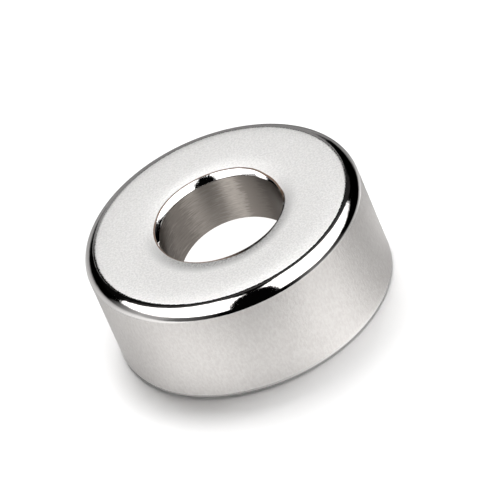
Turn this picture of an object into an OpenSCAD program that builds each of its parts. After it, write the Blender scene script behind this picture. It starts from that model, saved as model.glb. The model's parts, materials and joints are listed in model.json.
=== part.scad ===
// Ring magnet: a pressed and sintered magnet ground to a ring, with a straight
// bore through its middle and a bright plated skin.
// It is one solid piece and lies flat on its base, bore upright. Lengths are in
// millimetres and +Z is up. The origin is on the axis, where the base touches
// the table.

/* [Ring] */
// Outside diameter of the ring
outer_d = 20; // [12:0.5:60]
// Diameter of the bore, a medium fit for an 8 mm screw
bore_d = 9; // [3:0.5:16]
// Height of the ring from its base to its top face
height = 8; // [3:0.5:30]

/* [Edges] */
// Radius of the wide rounded edge between the top face and the side
top_edge_r = 0.85; // [0.2:0.05:1.6]
// Radius of the rounded edge between the top face and the bore
bore_edge_r = 0.45; // [0.1:0.05:1]
// Radius of the two rounded edges of the base, at the side and at the bore
base_edge_r = 0.4; // [0.1:0.05:1]

/* [Hidden] */
$fn = 180;

// Radii of the side and of the bore, and the ring's wall between them
outer_r = outer_d / 2;
bore_r = bore_d / 2;
wall = outer_r - bore_r;

// Two edges share the wall, and two share the height, so one edge takes at most
// this share of the thinner of them
edge_share = 0.45;
edge_limit = edge_share * min(wall, height);

// How far a corner cut runs past the corner it takes off
spill = 0.5;

// What a rounded edge takes off the square corner at the origin, where the
// section lies on the side of +X and +Y. The cut runs past both sides.
module corner_cut(edge_r) {
    difference() {
        translate([-spill, -spill]) square(edge_r + spill);
        translate([edge_r, edge_r]) circle(r = edge_r);
    }
}

// Half of the ring's section: the wall with its four rounded corners. X is the
// distance from the axis and Y is the height above the base.
module ring_section() {
    top_round = min(top_edge_r, edge_limit);
    bore_round = min(bore_edge_r, edge_limit);
    base_round = min(base_edge_r, edge_limit);
    difference() {
        translate([bore_r, 0]) square([wall, height]);
        // Top edge at the side, and top edge at the bore
        translate([outer_r, height]) rotate(180) corner_cut(top_round);
        translate([bore_r, height]) mirror([0, 1]) corner_cut(bore_round);
        // Base edge at the side, and base edge at the bore
        translate([outer_r, 0]) mirror([1, 0]) corner_cut(base_round);
        translate([bore_r, 0]) corner_cut(base_round);
    }
}

// The whole magnet: the section turned once round the axis
module ring_magnet() {
    color([0.80, 0.79, 0.77]) rotate_extrude() ring_section();
}

ring_magnet();
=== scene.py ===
# %% [markdown]
# A ring magnet with bright nickel plating
#
# This lesson dresses one solid ring, which comes from CAD, and photographs it in a small white studio. The
# ring is so plain that its whole look comes from two things: where its skin is polished and where it is
# satin, and what the polished parts mirror. So the lesson has three parts: a ring turned fine enough to
# mirror cleanly, five finishes of one plating, and the studio round it.

# %% Load the frame
import json
import math

import bmesh
import bpy
from mathutils import Matrix, Vector


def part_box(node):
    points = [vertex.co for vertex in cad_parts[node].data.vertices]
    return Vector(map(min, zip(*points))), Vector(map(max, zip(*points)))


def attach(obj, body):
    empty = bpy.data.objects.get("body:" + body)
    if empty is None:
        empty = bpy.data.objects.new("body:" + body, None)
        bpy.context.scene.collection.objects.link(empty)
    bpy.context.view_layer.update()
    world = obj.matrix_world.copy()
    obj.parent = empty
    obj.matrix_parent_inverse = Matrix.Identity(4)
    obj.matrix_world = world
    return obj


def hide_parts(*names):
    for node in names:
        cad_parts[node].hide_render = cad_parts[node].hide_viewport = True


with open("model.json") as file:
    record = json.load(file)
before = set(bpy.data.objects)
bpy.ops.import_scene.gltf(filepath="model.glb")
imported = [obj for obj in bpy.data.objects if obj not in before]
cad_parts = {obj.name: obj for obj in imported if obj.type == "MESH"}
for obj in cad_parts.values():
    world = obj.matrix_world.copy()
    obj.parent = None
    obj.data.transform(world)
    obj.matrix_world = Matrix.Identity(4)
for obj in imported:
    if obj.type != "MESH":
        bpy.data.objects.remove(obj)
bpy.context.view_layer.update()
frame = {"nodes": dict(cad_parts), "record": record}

MM = 0.001

# %% [markdown]
# The sizes come from the CAD node, so that the dressed ring can't drift from it. The outside radius and the
# height are its box. Where its flat faces end tells how wide each rounded edge is, and the record tells the
# bore. Only the border between two finishes in the bore has no size in the CAD solid, so it is read from the
# photograph.

# %% Measure the ring
NODE = "ring_magnet"
_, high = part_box(NODE)
outer_r = high.x
height = high.z
bore_r = frame["record"]["mounts"][0]["dims"]["r_mm"] * MM

points = [vertex.co for vertex in frame["nodes"][NODE].data.vertices]
flat = 0.001 * MM
top_rings = [math.hypot(p.x, p.y) for p in points if p.z > height - flat]
base_rings = [math.hypot(p.x, p.y) for p in points if p.z < flat]
top_round = outer_r - max(top_rings)
bore_round = min(top_rings) - bore_r
base_round = outer_r - max(base_rings)

# The bore's wall is polished from its lower mouth up to a border at this height. The photograph shows that
# the border isn't quite level: it stands higher on the far side (+Y) than on the near side.
polish_top = 2.9 * MM
polish_slant = 1.0 * MM

for name, size in (
    ("outside radius", outer_r),
    ("bore radius", bore_r),
    ("height", height),
    ("top edge", top_round),
    ("bore edge", bore_round),
    ("base edge", base_round),
):
    print(f"{name}: {size / MM:.3f} mm")

# %% [markdown]
# The ring is turned from a half section, as on a lathe. A section of four corners is drawn as one flat face,
# each corner is rounded by its own bevel, and the outline is spun once round the axis.
#
# A polished edge shows every facet, so the two edges of the top get many segments. The bore's top edge is
# rubbed a little flatter than a circle, which a bevel profile of 0.4 gives in place of 0.5.

# %% Draw the half section
# Each corner: distance from the axis, height, width of its rounding, bevel segments and bevel profile
corners = [
    (bore_r, 0, base_round, 8, 0.5),
    (outer_r, 0, base_round, 10, 0.5),
    (outer_r, height, top_round, 40, 0.5),
    (bore_r, height, bore_round, 32, 0.4),
]

section = bmesh.new()
section_verts = [section.verts.new((x, 0, z)) for x, z, _, _, _ in corners]
section.faces.new(section_verts)
for vert, (_, _, width, segments, profile) in zip(section_verts, corners):
    bmesh.ops.bevel(
        section,
        geom=[vert],
        offset=width,
        offset_type="OFFSET",
        segments=segments,
        profile=profile,
        affect="VERTICES",
        material=-1,
    )
bmesh.ops.delete(section, geom=section.faces[:], context="FACES_ONLY")
print("points in the half section:", len(section.verts))

# %% Spin the section into a ring
TURN_STEPS = 512
MERGE_DISTANCE = 0.0005 * MM
WALL_MARGIN = 0.01 * MM
bmesh.ops.spin(
    section,
    geom=section.verts[:] + section.edges[:],
    cent=(0, 0, 0),
    axis=(0, 0, 1),
    dvec=(0, 0, 0),
    angle=2 * math.pi,
    steps=TURN_STEPS,
    use_merge=True,
    use_duplicate=False,
)
bmesh.ops.remove_doubles(section, verts=section.verts[:], dist=MERGE_DISTANCE)
bmesh.ops.recalc_face_normals(section, faces=section.faces[:])

# Cut the polished stretch's border into the wall of the bore
wall_faces = [
    face for face in section.faces
    if math.hypot(*face.calc_center_median().xy) < bore_r + WALL_MARGIN
]
wall_edges = {edge for face in wall_faces for edge in face.edges}
wall_verts = {vert for face in wall_faces for vert in face.verts}
border_point = Vector((0, 0, polish_top))
border_normal = Vector((0, -polish_slant / bore_r, 1)).normalized()
bmesh.ops.bisect_plane(
    section,
    geom=wall_faces + list(wall_edges) + list(wall_verts),
    dist=MERGE_DISTANCE,
    plane_co=border_point,
    plane_no=border_normal,
)
open_edges = [edge for edge in section.edges if not edge.is_manifold]
print("faces:", len(section.faces), "open edges:", len(open_edges), "volume mm3:",
      round(section.calc_volume(signed=True) / MM**3, 2))

# %% [markdown]
# The finishes follow the shape, so each face of the mesh gets its finish from where it lies. The bands of
# the rounded edges are polished, and the flats and the side between them are satin. The bore's wall is
# brushed above its border and polished below it, where the photograph shows it mirror the white table.

# %% Give each zone its finish
FACE, EDGE, SIDE, BORE, MIRROR = range(5)
middle_r = (outer_r + bore_r) / 2

for face in section.faces:
    centre = face.calc_center_median()
    radius = math.hypot(centre.x, centre.y)
    outside = radius > middle_r
    upper = centre.z > height / 2
    if outside:
        rounding = top_round if upper else base_round
        on_flat = radius < outer_r - rounding
    else:
        rounding = bore_round if upper else base_round
        # The face's finish takes in the bore's top edge, because its satin fades into the polish there
        on_flat = centre.z > height - bore_round if upper else radius > bore_r + base_round
    on_wall = rounding < centre.z < height - rounding
    if on_flat:
        face.material_index = FACE
    elif not on_wall:
        face.material_index = EDGE
    elif outside:
        face.material_index = SIDE
    else:
        above_border = (centre - border_point).dot(border_normal) > 0
        face.material_index = BORE if above_border else MIRROR
    face.smooth = True

mesh = bpy.data.meshes.new("plated_ring")
section.to_mesh(mesh)
section.free()
ring = bpy.data.objects.new("plated_ring", mesh)
bpy.context.scene.collection.objects.link(ring)
print("faces in each zone:", [
    sum(polygon.material_index == zone for polygon in mesh.polygons) for zone in range(5)
])

# %% [markdown]
# Four helpers serve every material. One turns a hex colour, as a paint program shows it, into the linear
# values that a shader works with. One adds a node with its settings and its links, so that a node is one
# call however many sockets it has. One draws a line through points, for what changes round the ring or
# across it. The last starts a metal.

# %% Helpers for materials
def linear(hex_colour):
    parts = [int(hex_colour[i:i + 2], 16) / 255 for i in (1, 3, 5)]
    return [c / 12.92 if c <= 0.04045 else ((c + 0.055) / 1.055) ** 2.4 for c in parts] + [1.0]


def add(tree, kind, inputs=None, **settings):
    node = tree.nodes.new(kind)
    for name, value in settings.items():
        setattr(node, name, value)
    for key, value in (inputs or {}).items():
        if isinstance(value, bpy.types.Node):
            value = value.outputs[0]
        if isinstance(value, bpy.types.NodeSocket):
            tree.links.new(value, node.inputs[key])
        else:
            node.inputs[key].default_value = value
    return node


def trace(tree, value, line):
    """The height of a line through points, level beyond both its ends."""
    total = line[0][1]
    for (low, before), (high, after) in zip(line, line[1:]):
        stretch = add(tree, "ShaderNodeMapRange", {
            "Value": value, "From Min": low, "From Max": high, "To Max": after - before})
        total = add(tree, "ShaderNodeMath", {0: total, 1: stretch}, operation="ADD")
    return total


def new_metal(name, colour):
    """A metal with one shader. Its IOR stays the default, because a metal's colour sets what it mirrors."""
    material = bpy.data.materials.new(name)
    material.use_nodes = True
    tree = material.node_tree
    shader = tree.nodes["Principled BSDF"]
    shader.inputs["Base Color"].default_value = linear(colour)
    shader.inputs["Metallic"].default_value = 1.0
    return material, tree, shader

# %% [markdown]
# The face's finish changes with the distance from the axis and with the azimuth, so two helpers measure
# these. Azimuth 0 is straight behind the magnet (+Y), 90 is to its right (+X) and 180 is towards the
# camera.
#
# The border of the polish round the bore is uneven. The photograph shows the polish wide on the far and near
# sides and narrow on the left and the right, where the satin runs on over the rounded edge.

# %% Measure a spot on the ring
# How much of the bore's top edge is polished, as a share of its width, by azimuth in degrees
BORE_POLISH = [
    (-180, 1.0), (-150, 0.95), (-135, 0.75), (-120, 0.5), (-105, 0.42), (-90, 0.5), (-75, 0.62), (-60, 0.7),
    (-45, 0.9), (-30, 1.0), (0, 1.0), (15, 0.98), (30, 0.93), (45, 0.75), (60, 0.42), (75, 0.28), (90, 0.15),
    (105, 0.1), (120, 0.2), (135, 0.4), (150, 0.65), (165, 0.88), (180, 1.0),
]


def ring_spot(tree):
    """A spot's place, its distance from the axis, and the way outward from the axis to it."""
    place = add(tree, "ShaderNodeTexCoord").outputs["Object"]
    level = add(tree, "ShaderNodeVectorMath", {0: place, 1: (1, 1, 0)}, operation="MULTIPLY")
    radius = add(tree, "ShaderNodeVectorMath", {0: level}, operation="LENGTH").outputs["Value"]
    outward = add(tree, "ShaderNodeVectorMath", {0: level}, operation="NORMALIZE")
    return place, radius, outward


def azimuth_of(tree, x, y):
    angle = add(tree, "ShaderNodeMath", {0: x, 1: y}, operation="ARCTAN2")
    return add(tree, "ShaderNodeMath", {0: angle}, operation="DEGREES")


def bore_edge_spot(tree, radius, azimuth):
    """How far a spot lies across the bore's top edge, 0 at the wall and 1 at the flat, and how far it lies
    past the border of the polish."""
    inset = add(tree, "ShaderNodeMath", {0: radius, 1: bore_r}, operation="SUBTRACT")
    inset = add(tree, "ShaderNodeMath", {0: inset, 1: bore_round}, operation="DIVIDE")
    polished = trace(tree, azimuth, BORE_POLISH)
    past = add(tree, "ShaderNodeMath", {0: inset, 1: polished}, operation="SUBTRACT")
    return inset, past

# %% [markdown]
# Next to the outer edge the polish has crept onto the flat, most on the near left. A noise as fine as the
# grain makes that border ragged.

# %% Where the face is satin
POLISH_START = outer_r - top_round - 0.09 * MM
POLISH_FADE = 0.06 * MM
POLISH_CREEP = 0.05 * MM


def satin_share(tree, grain, radius, outward, past):
    """1 where the face is satin and 0 where it is polished."""
    uneven = add(tree, "ShaderNodeVectorMath", {0: outward, 1: (-0.9, -0.4, 0)}, operation="DOT_PRODUCT")
    ragged = add(tree, "ShaderNodeMapRange", {
        "Value": grain, "From Min": 0.3, "From Max": 0.7, "To Min": -POLISH_CREEP, "To Max": POLISH_CREEP})
    crept = add(tree, "ShaderNodeMath", {
        0: uneven.outputs["Value"], 1: POLISH_CREEP, 2: radius}, operation="MULTIPLY_ADD")
    crept = add(tree, "ShaderNodeMath", {0: crept, 1: ragged}, operation="ADD")
    inside_outer_edge = add(tree, "ShaderNodeMapRange", {
        "Value": crept, "From Min": POLISH_START - POLISH_FADE, "From Max": POLISH_START + POLISH_FADE,
        "To Min": 1.0, "To Max": 0.0,
    }, interpolation_type="SMOOTHSTEP")
    outside_bore = add(tree, "ShaderNodeMapRange", {
        "Value": past, "From Min": -0.14, "From Max": -0.02}, interpolation_type="SMOOTHSTEP")
    return add(tree, "ShaderNodeMath", {0: inside_outer_edge, 1: outside_bore}, operation="MINIMUM")

# %% [markdown]
# Tumbling wears more than the edges. In the photograph the satin has a pale or a dark halo beside each of
# them, as if the flat fell away there, while its outline shows no such fall. So no shoulder is modelled. A
# line through points says how far the flat seems to lean at each distance from the axis, and the shading
# normal is leaned by that much. The points are chosen to give the halos. They reach 18 degrees right
# beside the edges, which is more than wear would really lean the metal.
#
# On the left and the right of the bore, the polish of its top edge is leaned upward as well, so that it
# shows the photograph's dark crescents.

# %% How wear leans the face
# How far the flat leans outward in degrees, by the distance from the axis in mm. Below zero it leans in.
FACE_TILT = [
    (5.0, -18), (5.2, -16), (5.5, -9), (5.8, -2.5), (6.1, 0.8), (6.5, 2), (8.0, 3.2), (8.3, 6),
    (8.5, 10), (8.7, 15), (8.9, 18), (9.05, 18), (9.2, 8),
]
# What is added to the normal's upward part on the polish of the bore's top edge, by azimuth in degrees
BORE_WEAR = [
    (-88, 0.1), (-80, 1.1), (-68, 1.1), (-60, 0.1), (-46, 0.0), (48, 0.0), (57, 1.1), (80, 1.3), (90, 0.2),
]


def face_lean(tree, radius, outward, y, azimuth, inset, past):
    """What wear adds to the face's normal."""
    # The shoulders lean it outward. They lie a little farther in on the near side than behind.
    radius_mm = add(tree, "ShaderNodeMath", {0: radius, 1: MM}, operation="DIVIDE")
    shoulder = add(tree, "ShaderNodeMath", {0: y, 1: -0.2, 2: radius_mm}, operation="MULTIPLY_ADD")
    tilt = add(tree, "ShaderNodeMath", {0: trace(tree, shoulder, FACE_TILT)}, operation="RADIANS")
    tilt = add(tree, "ShaderNodeMath", {0: tilt}, operation="TANGENT")
    on_satin = add(tree, "ShaderNodeMapRange", {
        "Value": past, "From Min": -0.05, "From Max": 0.05}, interpolation_type="SMOOTHSTEP")
    tilt = add(tree, "ShaderNodeMath", {0: tilt, 1: on_satin}, operation="MULTIPLY")

    # Wear leans the polish of the bore's edge upward
    on_polish = add(tree, "ShaderNodeMapRange", {
        "Value": past, "From Min": 0.0, "From Max": -0.1}, interpolation_type="SMOOTHSTEP")
    wear = trace(tree, azimuth, BORE_WEAR)
    wear = add(tree, "ShaderNodeMath", {0: wear, 1: on_polish}, operation="MULTIPLY")

    # Where the satin runs on over the rounded edge, it goes on looking flat
    on_edge = add(tree, "ShaderNodeMapRange", {
        "Value": inset, "From Min": 1.0, "From Max": 0.85, "To Max": 4.0}, interpolation_type="SMOOTHSTEP")
    flattened = add(tree, "ShaderNodeMath", {0: on_satin, 1: on_edge}, operation="MULTIPLY")
    tilt = add(tree, "ShaderNodeMath", {0: tilt, 1: flattened, 2: tilt}, operation="MULTIPLY_ADD")
    lift = add(tree, "ShaderNodeMath", {0: wear, 1: flattened}, operation="ADD")

    tilted = add(tree, "ShaderNodeVectorMath", {0: outward, "Scale": tilt}, operation="SCALE")
    lifted = add(tree, "ShaderNodeCombineXYZ", {"Z": lift})
    return add(tree, "ShaderNodeVectorMath", {0: tilted, 1: lifted}, operation="ADD")

# %% [markdown]
# Along the border of the bore's polish a line is painted in place of a dark reflection: thin and tan behind,
# wide and black on the near right. Round the near half of the bore a faint smudge of painted shade lies on
# the flat. These painted marks aren't metal, so they mirror nothing.

# %% Painted reflection and shade round the bore
# Colours painted on the face: a line of dark reflection, and shade
TAN_PAINTED_REFLECTION = "#7a6252"
BLACK_PAINTED_REFLECTION_AND_SHADE = "#14110f"


# Painted reflection: a dark line of colour along the border of the bore's polish
def painted_reflection_line(tree, ripple, outward, past):
    """How thick the painted line of dark reflection lies, and how black it is."""
    near = add(tree, "ShaderNodeVectorMath", {0: outward, 1: (0.64, -0.77, 0)}, operation="DOT_PRODUCT")
    near = add(tree, "ShaderNodeMapRange", {
        "Value": near.outputs["Value"], "From Min": 0.5, "From Max": 0.88}, interpolation_type="SMOOTHSTEP")
    centre = add(tree, "ShaderNodeMapRange", {"Value": near, "To Min": -0.05, "To Max": 0.15})
    half_width = add(tree, "ShaderNodeMapRange", {"Value": near, "To Min": 0.14, "To Max": 0.5})
    off_line = add(tree, "ShaderNodeMath", {0: past, 1: centre}, operation="SUBTRACT")
    off_line = add(tree, "ShaderNodeMath", {0: off_line}, operation="ABSOLUTE")
    off_line = add(tree, "ShaderNodeMath", {0: off_line, 1: half_width}, operation="DIVIDE")
    line = add(tree, "ShaderNodeMapRange", {
        "Value": off_line, "From Min": 0.5, "From Max": 1.0, "To Min": 1.0, "To Max": 0.0,
    }, interpolation_type="SMOOTHSTEP")
    patches = add(tree, "ShaderNodeMapRange", {
        "Value": ripple, "From Min": 0.3, "From Max": 0.5, "To Min": 0.7}, interpolation_type="SMOOTHSTEP")
    line = add(tree, "ShaderNodeMath", {0: line, 1: patches}, operation="MULTIPLY")
    return line, near


# Painted shade: the flat round the near half of the bore is painted darker
def painted_shade_smudge(tree, grain, y, past):
    """How thick the painted shade lies."""
    fading = add(tree, "ShaderNodeMapRange", {
        "Value": past, "From Min": 2.6, "From Max": 0.1, "To Max": 0.85}, interpolation_type="SMOOTHSTEP")
    specks = add(tree, "ShaderNodeMapRange", {
        "Value": grain, "From Min": 0.3, "From Max": 0.7, "To Min": 0.4}, interpolation_type="SMOOTHSTEP")
    on_satin = add(tree, "ShaderNodeMapRange", {
        "Value": past, "From Min": -0.05, "From Max": 0.05}, interpolation_type="SMOOTHSTEP")
    near_half = add(tree, "ShaderNodeMapRange", {
        "Value": y, "From Min": 0.35, "From Max": -1.0}, interpolation_type="SMOOTHSTEP")
    painted_shade = add(tree, "ShaderNodeMath", {0: fading, 1: specks}, operation="MULTIPLY")
    painted_shade = add(tree, "ShaderNodeMath", {0: painted_shade, 1: on_satin}, operation="MULTIPLY")
    return add(tree, "ShaderNodeMath", {0: painted_shade, 1: near_half}, operation="MULTIPLY")

# %% [markdown]
# Satin nickel on the flat faces. The magnet is ground flat before it is plated, and the plating keeps the
# fine grain of the grinding: tiny pits and swellings. To the eye that is a soft silver with no reflected
# shapes in it, and a faint mottle. A noise bump gives the grain. It is drawn about twice as coarse as the
# real one, because finer than a pixel it would vanish.
#
# One material makes the face and the bore's top edge, because the polish fades into the satin there. Its
# roughness, its heights and its normal all change across the border.

# %% Satin nickel on the face
SATIN_ROUGHNESS = 0.76
POLISH_ROUGHNESS = 0.07
GRAIN_WIDTH = 0.14 * MM
GRAIN_HEIGHT = 0.075 * MM
RIPPLE_WIDTH = 0.5 * MM
RIPPLE_HEIGHT = 0.013 * MM


def satin_face():
    material, tree, shader = new_metal("satin_nickel_face", "#f3f1f0")
    place, radius, outward = ring_spot(tree)
    x, y, _ = add(tree, "ShaderNodeSeparateXYZ", {"Vector": outward}).outputs
    azimuth = azimuth_of(tree, x, y)
    inset, past = bore_edge_spot(tree, radius, azimuth)
    grain = add(tree, "ShaderNodeTexNoise", {
        "Vector": place, "Scale": 1 / GRAIN_WIDTH, "Detail": 4.0, "Roughness": 0.6})
    ripple = add(tree, "ShaderNodeTexNoise", {
        "Vector": place, "Scale": 1 / RIPPLE_WIDTH, "Detail": 4.0, "Roughness": 0.65})

    satin = satin_share(tree, grain, radius, outward, past)
    roughness = add(tree, "ShaderNodeMapRange", {
        "Value": satin, "To Min": POLISH_ROUGHNESS, "To Max": SATIN_ROUGHNESS})
    tree.links.new(roughness.outputs[0], shader.inputs["Roughness"])

    # The grain of the satin and the ripple of the polish, as real heights in metres
    grain_height = add(tree, "ShaderNodeMath", {0: satin, 1: GRAIN_HEIGHT}, operation="MULTIPLY")
    heights = add(tree, "ShaderNodeMath", {0: grain, 1: grain_height}, operation="MULTIPLY")
    polish = add(tree, "ShaderNodeMath", {0: 1.0, 1: satin}, operation="SUBTRACT")
    ripple_height = add(tree, "ShaderNodeMath", {0: polish, 1: RIPPLE_HEIGHT}, operation="MULTIPLY")
    heights = add(tree, "ShaderNodeMath", {
        0: ripple, 1: ripple_height, 2: heights}, operation="MULTIPLY_ADD")
    bump = add(tree, "ShaderNodeBump", {"Height": heights, "Strength": 1.0, "Distance": 1.0})
    lean = face_lean(tree, radius, outward, y, azimuth, inset, past)
    leaned = add(tree, "ShaderNodeVectorMath", {0: bump, 1: lean}, operation="ADD")
    normal = add(tree, "ShaderNodeVectorMath", {0: leaned}, operation="NORMALIZE")
    tree.links.new(normal.outputs[0], shader.inputs["Normal"])

    # The mottled metal, and the painted line of dark reflection and the painted shade on it
    line, blackness = painted_reflection_line(tree, ripple, outward, past)
    painted_shade = painted_shade_smudge(tree, grain, y, past)
    mottled = add(tree, "ShaderNodeMapRange", {
        "Value": grain, "From Min": 0.3, "From Max": 0.7}, interpolation_type="SMOOTHSTEP")
    metal = add(tree, "ShaderNodeMix", {
        "Factor": mottled, 6: linear("#ecebea"), 7: linear("#faf9f8")}, data_type="RGBA")
    metal_with_painted_shade = add(tree, "ShaderNodeMix", {
        "Factor": painted_shade, 6: metal.outputs[2], 7: linear(BLACK_PAINTED_REFLECTION_AND_SHADE)}, data_type="RGBA")
    painted_line_colour = add(tree, "ShaderNodeMix", {
        "Factor": blackness, 6: linear(TAN_PAINTED_REFLECTION), 7: linear(BLACK_PAINTED_REFLECTION_AND_SHADE)}, data_type="RGBA")
    colour = add(tree, "ShaderNodeMix", {
        "Factor": line, 6: metal_with_painted_shade.outputs[2], 7: painted_line_colour.outputs[2]}, data_type="RGBA")
    tree.links.new(colour.outputs[2], shader.inputs["Base Color"])
    # Under the painted line and the painted shade the surface isn't metal, so it mirrors nothing
    painted_over = add(tree, "ShaderNodeMath", {0: line, 1: painted_shade}, operation="MAXIMUM")
    bare = add(tree, "ShaderNodeMath", {0: 1.0, 1: painted_over}, operation="SUBTRACT")
    tree.links.new(bare.outputs[0], shader.inputs["Metallic"])
    shader.inputs["Specular IOR Level"].default_value = 0.1
    return material

# %% [markdown]
# Satin nickel on the side. The side has the same satin skin as the face, with a grain that is a little
# longer along the axis. To the eye it is a soft sheen that runs across the side in broad upright bands.
# Anisotropy gives it: along a radial tangent, it spreads a reflection more one way than the other.

# %% Satin nickel on the side
SIDE_GRAIN_WIDTH = 0.17 * MM
SIDE_GRAIN_HEIGHT = 0.035 * MM


def satin_side():
    material, tree, shader = new_metal("satin_nickel_side", "#f2eeeb")
    place = add(tree, "ShaderNodeTexCoord").outputs["Object"]
    stretched = add(tree, "ShaderNodeMapping", {"Vector": place, "Scale": (1.0, 1.0, 0.5)})
    grain = add(tree, "ShaderNodeTexNoise", {
        "Vector": stretched, "Scale": 1 / SIDE_GRAIN_WIDTH, "Detail": 4.0, "Roughness": 0.7})
    bump = add(tree, "ShaderNodeBump", {"Height": grain, "Strength": 1.0, "Distance": SIDE_GRAIN_HEIGHT})
    tree.links.new(bump.outputs[0], shader.inputs["Normal"])
    mottled = add(tree, "ShaderNodeMapRange", {
        "Value": grain, "From Min": 0.3, "From Max": 0.7}, interpolation_type="SMOOTHSTEP")
    metal = add(tree, "ShaderNodeMix", {
        "Factor": mottled, 6: linear("#ece8e5"), 7: linear("#f7f4f1")}, data_type="RGBA")
    tree.links.new(metal.outputs[2], shader.inputs["Base Color"])
    tangent = add(tree, "ShaderNodeTangent", direction_type="RADIAL", axis="Z")
    tree.links.new(tangent.outputs[0], shader.inputs["Tangent"])
    shader.inputs["Roughness"].default_value = 0.5
    shader.inputs["Anisotropic"].default_value = 0.5
    shader.inputs["Anisotropic Rotation"].default_value = 0.25
    return material

# %% [markdown]
# Polished nickel on the rounded edges. Tumbling in fine media rubs the edges bright before plating, so they
# mirror the room sharply, with a slight ripple that bends the reflected lines. The lower stretch of the bore
# is smoother still, and to the eye it is as white as the table that it mirrors.

# %% Polished nickel
def polished_edge():
    material, tree, shader = new_metal("polished_nickel_edge", "#f3f0ee")
    place = add(tree, "ShaderNodeTexCoord").outputs["Object"]
    ripple = add(tree, "ShaderNodeTexNoise", {
        "Vector": place, "Scale": 1 / (1.2 * MM), "Detail": 3.0, "Roughness": 0.5})
    bump = add(tree, "ShaderNodeBump", {"Height": ripple, "Strength": 0.7, "Distance": 0.02 * MM})
    tree.links.new(bump.outputs[0], shader.inputs["Normal"])
    shader.inputs["Roughness"].default_value = 0.06
    return material


def polished_bore():
    material, tree, shader = new_metal("polished_nickel_bore", "#fcfbfa")
    shader.inputs["Roughness"].default_value = 0.03
    return material

# %% [markdown]
# Brushed nickel in the bore. The bore is cleaned with a turning brush, which leaves fine scratches round
# the wall. They spread each reflection up and down, and the wall sees mostly itself, so it looks
# brown-grey. Its colour is painted too: bright and dull stretches round the wall are painted reflection and
# painted shade. The scratches need coordinates that run round the wall, so an arc length is made of the
# angle round the axis. They are drawn wider than real ones, to show.

# %% Brushed nickel
BRUSH_LINE_WIDTH = 0.09 * MM
BRUSH_LINE_DEPTH = 0.003 * MM
MARK_WIDTH = 0.22 * MM
# How far, in degrees, the lines carry a tone to either side
RAGGED_REACH = 17.0
# Azimuth in degrees and tone, from dull to bright. The tone is painted reflection and painted shade.
PAINTED_WALL_SHEEN_AND_SHADE = [
    (-85, 0.06), (-62, 0.1), (-50, 0.22), (-30, 0.24), (-20, 0.4), (-10, 0.42), (-2, 0.4), (6, 0.44),
    (14, 0.58), (24, 0.64), (29, 0.32), (44, 0.2), (54, 0.05),
]


def brushed_bore():
    material, tree, shader = new_metal("brushed_nickel_bore", "#9f968e")
    place = add(tree, "ShaderNodeTexCoord").outputs["Object"]
    x, y, z = add(tree, "ShaderNodeSeparateXYZ", {"Vector": place}).outputs
    angle = add(tree, "ShaderNodeMath", {0: x, 1: y}, operation="ARCTAN2")
    arc = add(tree, "ShaderNodeMath", {0: angle, 1: bore_r}, operation="MULTIPLY")
    wall = add(tree, "ShaderNodeCombineXYZ", {"X": arc, "Y": z})

    # Brush lines: thin along the axis and long round the wall
    stretched = add(tree, "ShaderNodeMapping", {"Vector": wall, "Scale": (0.1, 1.0, 1.0)})
    lines = add(tree, "ShaderNodeTexNoise", {
        "Vector": stretched, "Scale": 1 / BRUSH_LINE_WIDTH, "Detail": 3.0, "Roughness": 0.65})

    # They shift the borders of the painted bright and dull stretches to and fro, so that these end in ragged
    # tips
    azimuth = azimuth_of(tree, x, y)
    least = add(tree, "ShaderNodeMath", {0: azimuth, 1: RAGGED_REACH}, operation="SUBTRACT")
    ragged = add(tree, "ShaderNodeMath", {
        0: lines, 1: 2 * RAGGED_REACH, 2: least}, operation="MULTIPLY_ADD")
    streaks = add(tree, "ShaderNodeMapRange", {
        "Value": lines, "From Min": 0.3, "From Max": 0.7, "To Min": 0.8, "To Max": 1.2})
    # The tone paints reflection and shade into the colour by azimuth, mottled by the brush lines
    tone = add(tree, "ShaderNodeMath", {
        0: trace(tree, ragged, PAINTED_WALL_SHEEN_AND_SHADE), 1: streaks}, operation="MULTIPLY")

    # A few slanting marks on the left, where something was pushed through
    turned = add(tree, "ShaderNodeMapping", {
        "Vector": wall, "Rotation": (0, 0, math.radians(62)), "Scale": (0.12, 1.0, 1.0)})
    marks = add(tree, "ShaderNodeTexNoise", {
        "Vector": turned, "Scale": 1 / MARK_WIDTH, "Detail": 3.0, "Roughness": 0.6})
    marks = add(tree, "ShaderNodeMapRange", {
        "Value": marks, "From Min": 0.55, "From Max": 0.75, "To Max": 0.35})
    on_left = add(tree, "ShaderNodeMapRange", {
        "Value": azimuth, "From Min": -30, "From Max": -50}, interpolation_type="SMOOTHSTEP")
    marks = add(tree, "ShaderNodeMath", {0: marks, 1: on_left}, operation="MULTIPLY")
    tone = add(tree, "ShaderNodeMath", {0: tone, 1: marks}, operation="ADD")
    colour = add(tree, "ShaderNodeMix", {
        "Factor": tone, 6: linear("#56504b"), 7: linear("#d8d0c8")}, data_type="RGBA")
    tree.links.new(colour.outputs[2], shader.inputs["Base Color"])
    bump = add(tree, "ShaderNodeBump", {"Height": lines, "Strength": 1.0, "Distance": BRUSH_LINE_DEPTH})
    tree.links.new(bump.outputs[0], shader.inputs["Normal"])
    tangent = add(tree, "ShaderNodeTangent", direction_type="RADIAL", axis="Z")
    tree.links.new(tangent.outputs[0], shader.inputs["Tangent"])
    shader.inputs["Roughness"].default_value = 0.42
    shader.inputs["Anisotropic"].default_value = 0.9
    shader.inputs["Anisotropic Rotation"].default_value = 0.25
    return material

# %% [markdown]
# The materials go on the mesh in the order of the zones.

# %% Plate the ring
for material in (satin_face(), polished_edge(), satin_side(), brushed_bore(), polished_bore()):
    mesh.materials.append(material)
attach(ring, "root")
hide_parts(NODE)
print("finishes:", [material.name for material in mesh.materials])

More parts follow.
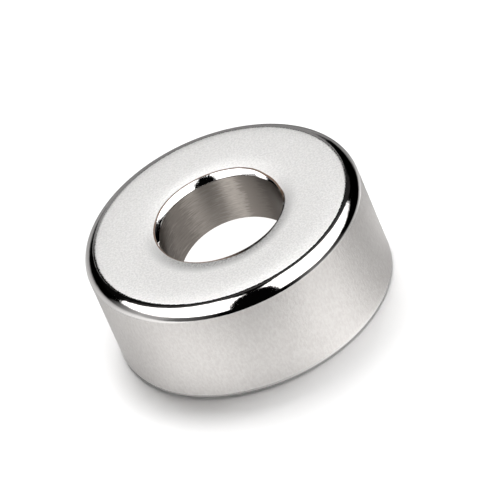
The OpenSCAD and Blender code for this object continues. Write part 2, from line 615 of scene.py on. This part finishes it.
# %% [markdown]
# The studio is what the polished edges show. It is a white tent round a table, with a dark gap where the
# camera looks in and a black cloth behind. One node group gives its brightness for any direction, as seen
# from the magnet's top edge. The world and the table both take their reflections from it, so that the two
# meet without a seam.
#
# Each outline in it is a line through a few points, chosen so that the edges show the photograph's
# reflections. A point is an azimuth in degrees and a value. Azimuth 0 is straight behind the magnet, 90 is
# to its right and 180 is towards the camera. A foot is the elevation at which a cloth begins, in degrees
# too, and a level is a brightness, where 1 is white.

# %% The studio's outlines
# The white tent's brightness, and where it begins
TENT_LEVEL = [
    (-165, 1.7), (-150, 2.8), (-132, 2.8), (-115, 1.85), (115, 1.85), (138, 2.4), (152, 2.4), (165, 1.7),
]
TENT_FOOT = [
    (-150, 4), (-120, 11), (-90, 21), (-60, 34), (-45, 43), (-30, 48),
    (30, 48), (50, 41), (70, 30), (90, 15), (110, 3), (125, -2), (150, -1),
]
# The shade below the tent: black cloth behind, dark corners in front
SHADE_FOOT = [
    (-160, -39), (-140, -35), (-120, -22), (-100, -8), (-90, 0), (-65, 3), (-50, 7), (-35, 11), (-20, 15),
    (-10, 20), (-3, 44), (6, 44), (15, 18), (22, 6), (30, 4), (50, -11), (80, -25), (120, -30),
    (140, -35), (160, -39),
]
SHADE_LEVEL = [
    (-155, 0.0), (-140, 0.07), (-120, 0.15), (-110, 0.36), (-90, 0.4), (-70, 0.15), (-58, 0.0),
    (100, 0.0), (115, 0.05), (138, 0.17), (152, 0.03), (160, 0.0),
]
# The table's brightness at its end, half way and near the magnet
TABLE_END = [
    (-115, 0.66), (-92, 0.56), (-75, 0.41), (-40, 0.4), (-22, 0.42), (-10, 0.3), (-4, 0.24), (12, 0.24),
    (22, 0.3), (35, 0.36), (50, 0.41), (70, 0.41), (85, 0.32), (105, 0.32), (125, 0.5),
]
TABLE_LEVEL = [
    (-115, 1.0), (-92, 0.85), (-75, 0.62), (-40, 0.58), (-30, 0.45), (-20, 0.25), (-10, 0.12), (22, 0.12),
    (35, 0.2), (50, 0.45), (65, 0.62), (72, 0.62), (85, 0.48), (105, 0.48), (125, 0.75),
]
NEAR_LEVEL = [
    (-180, 0.87), (-165, 0.85), (-150, 0.9), (-125, 0.81), (-110, 0.58), (-95, 0.48), (-80, 0.57),
    (-65, 0.5),
    (65, 0.66), (75, 0.95), (88, 0.7), (100, 0.47), (115, 0.48), (140, 0.87), (155, 0.9), (180, 0.87),
]
# The camera looks down at this angle
CAMERA_ELEVATION = math.radians(36.31)

# %% The studio's parts
def studio_table(tree, azimuth, elevation, side):
    """From its far end to the middle, and then to the magnet, where it glows in front."""
    middle_share = add(tree, "ShaderNodeMapRange", {"Value": elevation, "From Min": 5, "From Max": -15})
    far_end = trace(tree, azimuth, TABLE_END)
    middle_level = trace(tree, azimuth, TABLE_LEVEL)
    table = add(tree, "ShaderNodeMix", {"Factor": middle_share, 2: far_end, 3: middle_level})
    near = trace(tree, azimuth, NEAR_LEVEL)
    glow = add(tree, "ShaderNodeMapRange", {
        "Value": elevation, "From Min": -56, "From Max": -41, "To Max": 1.1,
    }, interpolation_type="SMOOTHSTEP")
    in_front = add(tree, "ShaderNodeMapRange", {
        "Value": side, "From Min": 100, "From Max": 130}, interpolation_type="SMOOTHSTEP")
    glow = add(tree, "ShaderNodeMath", {0: glow, 1: in_front}, operation="MULTIPLY")
    near = add(tree, "ShaderNodeMath", {0: near, 1: glow, 2: near}, operation="MULTIPLY_ADD")
    near_share = add(tree, "ShaderNodeMapRange", {
        "Value": elevation, "From Min": -36, "From Max": -43}, interpolation_type="SMOOTHSTEP")
    return add(tree, "ShaderNodeMix", {"Factor": near_share, 2: table, 3: near})


def cloth_share(tree, azimuth, elevation, foot, soft):
    """0 below a cloth's foot and 1 above it, with a border as many degrees soft to either side."""
    above = add(tree, "ShaderNodeMath", {0: elevation, 1: trace(tree, azimuth, foot)}, operation="SUBTRACT")
    share = add(tree, "ShaderNodeMath", {0: above, 1: soft}, operation="DIVIDE")
    return add(tree, "ShaderNodeMapRange", {
        "Value": share, "From Min": -1, "From Max": 1}, interpolation_type="SMOOTHSTEP")


def dark_peak(tree, y, z, azimuth, elevation):
    """Where the cloth rises to a peak, round the direction in which the flat face mirrors the camera, and
    how bright it is there."""
    level_part = add(tree, "ShaderNodeMath", {0: y, 1: math.cos(CAMERA_ELEVATION)}, operation="MULTIPLY")
    cosine = add(tree, "ShaderNodeMath", {
        0: z, 1: math.sin(CAMERA_ELEVATION), 2: level_part}, operation="MULTIPLY_ADD")
    peak = add(tree, "ShaderNodeMapRange", {
        "Value": cosine, "From Min": math.cos(math.radians(32)), "From Max": math.cos(math.radians(29)),
    }, interpolation_type="SMOOTHSTEP")
    above_cloth = add(tree, "ShaderNodeMapRange", {
        "Value": elevation, "From Min": 34, "From Max": 38}, interpolation_type="SMOOTHSTEP")
    peak = add(tree, "ShaderNodeMath", {0: peak, 1: above_cloth}, operation="MULTIPLY")
    paler_right = add(tree, "ShaderNodeMapRange", {
        "Value": azimuth, "From Min": -2, "From Max": 12, "To Min": 0.002, "To Max": 0.02,
    }, interpolation_type="SMOOTHSTEP")
    paler_above = add(tree, "ShaderNodeMapRange", {
        "Value": elevation, "From Min": 42, "From Max": 52, "To Max": 0.05}, interpolation_type="SMOOTHSTEP")
    level = add(tree, "ShaderNodeMath", {0: paler_right, 1: paler_above}, operation="ADD")
    return peak, level


def tent_gap(tree, x, y, elevation):
    """A gap from behind the magnet over the top to the camera, where it is widest."""
    half_gap = add(tree, "ShaderNodeMapRange", {
        "Value": y, "From Min": -1.0, "From Max": 0.0, "To Min": 0.34, "To Max": 0.06})
    half_gap_behind = add(tree, "ShaderNodeMapRange", {
        "Value": y, "From Min": 0.0, "From Max": 0.3, "To Min": 0.06, "To Max": 0.1,
    }, interpolation_type="SMOOTHSTEP")
    half_gap = add(tree, "ShaderNodeMath", {0: half_gap, 1: half_gap_behind}, operation="MAXIMUM")
    aside = add(tree, "ShaderNodeMath", {0: x, 1: 0.005}, operation="ADD")
    aside = add(tree, "ShaderNodeMath", {0: aside}, operation="ABSOLUTE")
    past_gap = add(tree, "ShaderNodeMath", {0: aside, 1: half_gap}, operation="SUBTRACT")
    gap = add(tree, "ShaderNodeMapRange", {
        "Value": past_gap, "From Min": 0.02, "From Max": -0.02}, interpolation_type="SMOOTHSTEP")
    not_behind = add(tree, "ShaderNodeMapRange", {
        "Value": y, "From Min": 0.5, "From Max": 0.4}, interpolation_type="SMOOTHSTEP")
    not_below = add(tree, "ShaderNodeMapRange", {
        "Value": elevation, "From Min": -44, "From Max": -38}, interpolation_type="SMOOTHSTEP")
    gap = add(tree, "ShaderNodeMath", {0: gap, 1: not_behind}, operation="MULTIPLY")
    return add(tree, "ShaderNodeMath", {0: gap, 1: not_below}, operation="MULTIPLY")

# %% The studio's brightness by direction
def studio_group():
    tree = bpy.data.node_groups.new("studio", "ShaderNodeTree")
    tree.interface.new_socket("Direction", in_out="INPUT", socket_type="NodeSocketVector")
    tree.interface.new_socket("Brightness", in_out="OUTPUT", socket_type="NodeSocketFloat")
    start = add(tree, "NodeGroupInput")
    unit = add(tree, "ShaderNodeVectorMath", {0: start.outputs[0]}, operation="NORMALIZE")
    x, y, z = add(tree, "ShaderNodeSeparateXYZ", {"Vector": unit}).outputs
    azimuth = azimuth_of(tree, x, y)
    elevation = add(tree, "ShaderNodeMath", {0: z}, operation="ARCSINE")
    elevation = add(tree, "ShaderNodeMath", {0: elevation}, operation="DEGREES")
    side = add(tree, "ShaderNodeMath", {0: azimuth}, operation="ABSOLUTE")
    table = studio_table(tree, azimuth, elevation, side)

    # The shade begins softly behind and more sharply in front
    soft = add(tree, "ShaderNodeMapRange", {
        "Value": side, "From Min": 140, "From Max": 165, "To Min": 7.0, "To Max": 3.0,
    }, interpolation_type="SMOOTHSTEP")
    shade = cloth_share(tree, azimuth, elevation, SHADE_FOOT, soft)
    seen = add(tree, "ShaderNodeMix", {"Factor": shade, 2: table, 3: trace(tree, azimuth, SHADE_LEVEL)})

    # The white tent begins sharply behind and more softly in front
    soft = add(tree, "ShaderNodeMapRange", {
        "Value": side, "From Min": 40, "From Max": 75, "To Min": 2.0, "To Max": 5.0,
    }, interpolation_type="SMOOTHSTEP")
    tent = cloth_share(tree, azimuth, elevation, TENT_FOOT, soft)
    seen = add(tree, "ShaderNodeMix", {"Factor": tent, 2: seen, 3: trace(tree, azimuth, TENT_LEVEL)})

    peak, peak_level = dark_peak(tree, y, z, azimuth, elevation)
    seen = add(tree, "ShaderNodeMix", {"Factor": peak, 2: seen, 3: peak_level})
    gap = tent_gap(tree, x, y, elevation)
    seen = add(tree, "ShaderNodeMix", {"Factor": gap, 2: seen, 3: 0.001})

    end = tree.nodes.new("NodeGroupOutput")
    tree.links.new(seen.outputs[0], end.inputs["Brightness"])
    return tree


studio = studio_group()
print("nodes in the studio:", len(studio.nodes))

# %% [markdown]
# The world has three jobs. The camera sees plain white. The metal's reflections see the studio. Everything
# else gets a faint even light, which keeps the shadow on the table from going black.

# %% The world
world = bpy.data.worlds.new("studio")
bpy.context.scene.world = world
world.use_nodes = True
tree = world.node_tree
tree.nodes.clear()

direction = add(tree, "ShaderNodeTexCoord").outputs["Generated"]
shown = add(tree, "ShaderNodeGroup", node_tree=studio)
tree.links.new(direction, shown.inputs["Direction"])

WORLD_LIGHT = 0.05
rays = add(tree, "ShaderNodeLightPath")
even = add(tree, "ShaderNodeMix", {
    "Factor": rays.outputs["Is Camera Ray"], 2: WORLD_LIGHT, 3: 1.0})
strength = add(tree, "ShaderNodeMix", {
    "Factor": rays.outputs["Is Glossy Ray"], 2: even, 3: shown})
light = add(tree, "ShaderNodeBackground", {"Color": (1, 1, 1, 1), "Strength": strength.outputs[0]})
add(tree, "ShaderNodeOutputWorld", {"Surface": light})

# %% [markdown]
# The table is one large flat square at the base's height. The camera sees matt white card with the magnet's
# soft shadow on it. Reflections see the studio's table instead. Its brightness follows the direction in
# which the magnet's top edge sees each spot, so that a reflection in that edge is right. Near the ring it
# is darker, where the ring shades it, most on the near left, and inside the bore it is lit from above
# through the hole.

# %% The table
HALF_TABLE = 1.2
floor_mesh = bpy.data.meshes.new("table")
floor_bm = bmesh.new()
bmesh.ops.create_grid(floor_bm, x_segments=1, y_segments=1, size=HALF_TABLE)
floor_bm.to_mesh(floor_mesh)
floor_bm.free()
floor = bpy.data.objects.new("table", floor_mesh)
bpy.context.scene.collection.objects.link(floor)
print("table:", 2 * HALF_TABLE, "m across")

# %% The table's card
card = bpy.data.materials.new("white_card_table")
card.use_nodes = True
tree = card.node_tree
tree.nodes.clear()
_, radius, outward = ring_spot(tree)

# The direction from the middle of the top edge down to each spot of the table
EDGE_HEIGHT = height - 0.3 * top_round
reach = add(tree, "ShaderNodeMath", {0: radius, 1: outer_r}, operation="SUBTRACT")
reach = add(tree, "ShaderNodeMath", {0: reach, 1: 0.0}, operation="MAXIMUM")
level = add(tree, "ShaderNodeVectorMath", {0: outward, "Scale": reach.outputs[0]}, operation="SCALE")
slope = add(tree, "ShaderNodeVectorMath", {0: level, 1: (0, 0, -EDGE_HEIGHT)}, operation="ADD")
shown = add(tree, "ShaderNodeGroup", node_tree=studio)
tree.links.new(slope.outputs[0], shown.inputs["Direction"])

# The ring's shade on the table
near_side = add(tree, "ShaderNodeVectorMath", {0: outward, 1: (-0.45, -0.89, 0)}, operation="DOT_PRODUCT")
shade_end = add(tree, "ShaderNodeMapRange", {
    "Value": near_side.outputs["Value"], "To Min": outer_r + 0.1 * MM, "To Max": outer_r + 3.2 * MM})
left_side = add(tree, "ShaderNodeVectorMath", {0: outward, 1: (-0.8, -0.6, 0)}, operation="DOT_PRODUCT")
darkest = add(tree, "ShaderNodeMapRange", {
    "Value": left_side.outputs["Value"], "From Min": 0.0, "From Max": 0.9, "To Min": 1.2, "To Max": 0.4,
}, interpolation_type="SMOOTHSTEP")
shade = add(tree, "ShaderNodeMapRange", {
    "Value": radius, "From Min": outer_r - base_round, "From Max": shade_end, "To Min": darkest,
}, interpolation_type="SMOOTHSTEP")
brightness = add(tree, "ShaderNodeMath", {0: shown, 1: shade}, operation="MULTIPLY")

# The light that falls through the bore
IN_BORE_LEVEL = 1.1
inside = add(tree, "ShaderNodeMath", {0: radius, 1: middle_r}, operation="LESS_THAN")
inside = add(tree, "ShaderNodeMath", {0: inside, 1: IN_BORE_LEVEL}, operation="MULTIPLY")
brightness = add(tree, "ShaderNodeMath", {0: brightness, 1: inside}, operation="MAXIMUM")
mirrored = add(tree, "ShaderNodeEmission", {"Strength": brightness})

rays = add(tree, "ShaderNodeLightPath")
matt = add(tree, "ShaderNodeBsdfDiffuse", {"Color": linear("#f4f4f4")})
surface = add(tree, "ShaderNodeMixShader", {0: rays.outputs["Is Glossy Ray"], 1: matt, 2: mirrored})
add(tree, "ShaderNodeOutputMaterial", {"Surface": surface})
floor_mesh.materials.append(card)

# %% [markdown]
# Two round soft lamps give the shadow its shape: one stands behind the magnet and one high on its right.
# They are hidden from reflections, which already come from the studio, and from the camera.

# %% The lamps
LAMP_WIDTH = 0.26
LAMP_DISTANCE = 0.5


def soft_lamp(name, azimuth, elevation, energy):
    lamp = bpy.data.lights.new(name, "AREA")
    lamp.shape = "DISK"
    lamp.size = LAMP_WIDTH
    lamp.energy = energy
    lamp_object = bpy.data.objects.new(name, lamp)
    bpy.context.scene.collection.objects.link(lamp_object)
    azimuth, elevation = math.radians(azimuth), math.radians(elevation)
    level = math.cos(elevation)
    towards = Vector((level * math.sin(azimuth), level * math.cos(azimuth), math.sin(elevation)))
    lamp_object.location = LAMP_DISTANCE * towards
    lamp_object.rotation_euler = (-towards).to_track_quat("-Z", "Y").to_euler()
    lamp_object.visible_glossy = False
    lamp_object.visible_camera = False


soft_lamp("back_lamp", -4, 63, 1.8)
soft_lamp("right_lamp", 66, 76, 1.6)

# %% [markdown]
# The camera stands 0.4 m away, 36 degrees above the table, and is rolled to one side, so that the ring seems
# to tip over in the frame. The numbers come from fitting the ring's outlines in the photograph.

# %% The camera
CAMERA_DISTANCE = 0.4
CAMERA_ROLL = math.radians(23.65)
FRAME_PIXELS = 500
FOCAL_PIXELS = 5792.3
SENSOR = 36.0

middle = Vector((0, 0, height / 2))
back = Vector((0, -math.cos(CAMERA_ELEVATION), math.sin(CAMERA_ELEVATION)))
level_right = Vector((1, 0, 0))
level_up = level_right.cross(-back)
right = math.cos(CAMERA_ROLL) * level_right - math.sin(CAMERA_ROLL) * level_up
up = math.sin(CAMERA_ROLL) * level_right + math.cos(CAMERA_ROLL) * level_up

# The middle of the ring lies a little left of and below the middle of the picture
AIM_RIGHT_PIXELS = 12.29
AIM_UP_PIXELS = 7.66
metres_per_pixel = CAMERA_DISTANCE / FOCAL_PIXELS
aim = middle + metres_per_pixel * (AIM_RIGHT_PIXELS * right + AIM_UP_PIXELS * up)
stand = middle + CAMERA_DISTANCE * back
away = (stand - aim).normalized()
right = (right - right.dot(away) * away).normalized()
up = away.cross(right)

camera = bpy.data.cameras.new("camera")
camera.sensor_width = SENSOR
camera.lens = FOCAL_PIXELS / FRAME_PIXELS * SENSOR
camera_object = bpy.data.objects.new("camera", camera)
bpy.context.scene.collection.objects.link(camera_object)
turn = Matrix((right, up, away)).transposed().to_4x4()
camera_object.matrix_world = Matrix.Translation(stand) @ turn
bpy.context.scene.camera = camera_object
bpy.context.scene.view_settings.view_transform = "Standard"
print("lens:", round(camera.lens, 1), "mm")

# %% [markdown]
# Last, the view layer is brought up to date. Plating must not make a magnet bigger than its drawing.

# %% Finish
bpy.context.view_layer.update()
